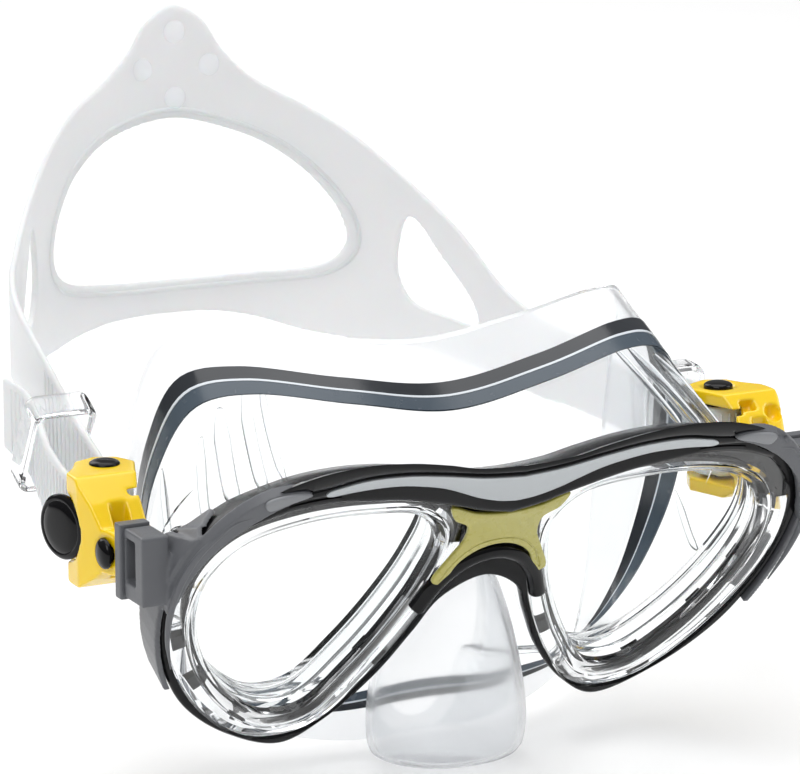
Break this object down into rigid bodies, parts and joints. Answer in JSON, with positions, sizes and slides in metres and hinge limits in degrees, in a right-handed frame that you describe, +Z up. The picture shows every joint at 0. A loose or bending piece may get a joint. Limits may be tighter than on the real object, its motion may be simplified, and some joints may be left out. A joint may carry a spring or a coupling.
{
  "type": "snorkel mask",
  "caption": "Low-volume snorkel mask with twin teardrop lenses, clear skirt with nose pocket, tilting side buckles and a split headband.",
  "frame": {"origin": "middle of the face seal, where the mask meets the face", "axes": "+X the wearer's left, -Y the way the wearer looks, +Z up along the buckle rollers"},
  "size_m": [0.1876, 0.194, 0.1543],
  "materials": {
    "black_frame": "satin black polycarbonate",
    "clear_frame": "clear polycarbonate",
    "gloss_black": "polished black",
    "silver_inlay": "satin silver",
    "olive_trim": "olive yellow under a clear coat",
    "lens_glass": "clear tempered glass",
    "clear_silicone": "clear silicone, glossy",
    "grey_plastic": "satin dark grey",
    "yellow_plastic": "glossy moulded yellow",
    "dark_metal": "dark satin",
    "frosted_silicone": "frosted translucent silicone"
  },
  "bodies": {
    "mask": {"inner_frame": "black_frame", "front_frame": "clear_frame", "brow_cover": "gloss_black", "brow_inlay": "silver_inlay", "bridge_trim": "olive_trim", "skirt": "clear_silicone", "lens_right": "lens_glass", "lens_gasket_right": "clear_silicone", "side_bracket_right": "grey_plastic", "bracket_lug_right": "grey_plastic", "lens_left": "lens_glass", "lens_gasket_left": "clear_silicone", "side_bracket_left": "grey_plastic", "bracket_lug_left": "grey_plastic"},
    "buckle_right": {"buckle_body_right": "yellow_plastic", "pivot_pin_right": "gloss_black", "roller_pin_right": "gloss_black", "pawl_pin_right": "dark_metal"},
    "roller_right": {"roller_right": "dark_metal"},
    "button_right": {"release_button_right": "gloss_black", "button_spring_right": "dark_metal"},
    "pawl_right": {"pawl_right": "black_frame"},
    "buckle_left": {"buckle_body_left": "yellow_plastic", "pivot_pin_left": "gloss_black", "roller_pin_left": "gloss_black", "pawl_pin_left": "dark_metal"},
    "roller_left": {"roller_left": "dark_metal"},
    "button_left": {"release_button_left": "gloss_black", "button_spring_left": "dark_metal"},
    "pawl_left": {"pawl_left": "black_frame"},
    "strap": {"headband": "frosted_silicone", "strap_keeper_right": "clear_frame", "strap_keeper_left": "clear_frame"}
  },
  "joints": [
    {"name": "buckle_tilt_right", "type": "hinge", "parent": "mask", "child": "buckle_right", "pos_m": [0.084, -0.0359, 0.01], "axis": [1, 0, 0], "range_deg": [-25, 45]},
    {"name": "buckle_tilt_left", "type": "hinge", "parent": "mask", "child": "buckle_left", "pos_m": [-0.084, -0.0359, 0.01], "axis": [1, 0, 0], "range_deg": [-25, 45]},
    {"name": "strap_tilt", "type": "hinge", "parent": "mask", "child": "strap", "pos_m": [0, -0.0359, 0.01], "axis": [1, 0, 0], "range_deg": [-25, 45]},
    {"name": "roller_spin_right", "type": "hinge", "parent": "buckle_right", "child": "roller_right", "pos_m": [0.0798, -0.0167, 0.0122], "axis": [0, 0, 1], "continuous": true},
    {"name": "button_press_right", "type": "slide", "parent": "buckle_right", "child": "button_right", "axis": [-0.96, 0.28, 0], "range_m": [0, 0.001], "stiffness_N_per_m": 400, "springref_m": -0.001},
    {"name": "pawl_rock_right", "type": "hinge", "parent": "buckle_right", "child": "pawl_right", "pos_m": [0.086, -0.0269, 0.0122], "axis": [0, 0, 1], "range_deg": [0, 9]},
    {"name": "roller_spin_left", "type": "hinge", "parent": "buckle_left", "child": "roller_left", "pos_m": [-0.0798, -0.0167, 0.0122], "axis": [0, 0, 1], "continuous": true},
    {"name": "button_press_left", "type": "slide", "parent": "buckle_left", "child": "button_left", "axis": [0.96, 0.28, 0], "range_m": [0, 0.001], "stiffness_N_per_m": 400, "springref_m": -0.001},
    {"name": "pawl_rock_left", "type": "hinge", "parent": "buckle_left", "child": "pawl_left", "pos_m": [-0.086, -0.0269, 0.0122], "axis": [0, 0, 1], "range_deg": [-9, 0]}
  ],
  "couplings": [
    {"joint": "buckle_tilt_right", "follows": "strap_tilt", "ratio": 1},
    {"joint": "buckle_tilt_left", "follows": "strap_tilt", "ratio": 1},
    {"joint": "pawl_rock_right", "follows": "button_press_right", "rad_per_m": 104},
    {"joint": "pawl_rock_left", "follows": "button_press_left", "rad_per_m": -104}
  ]
}
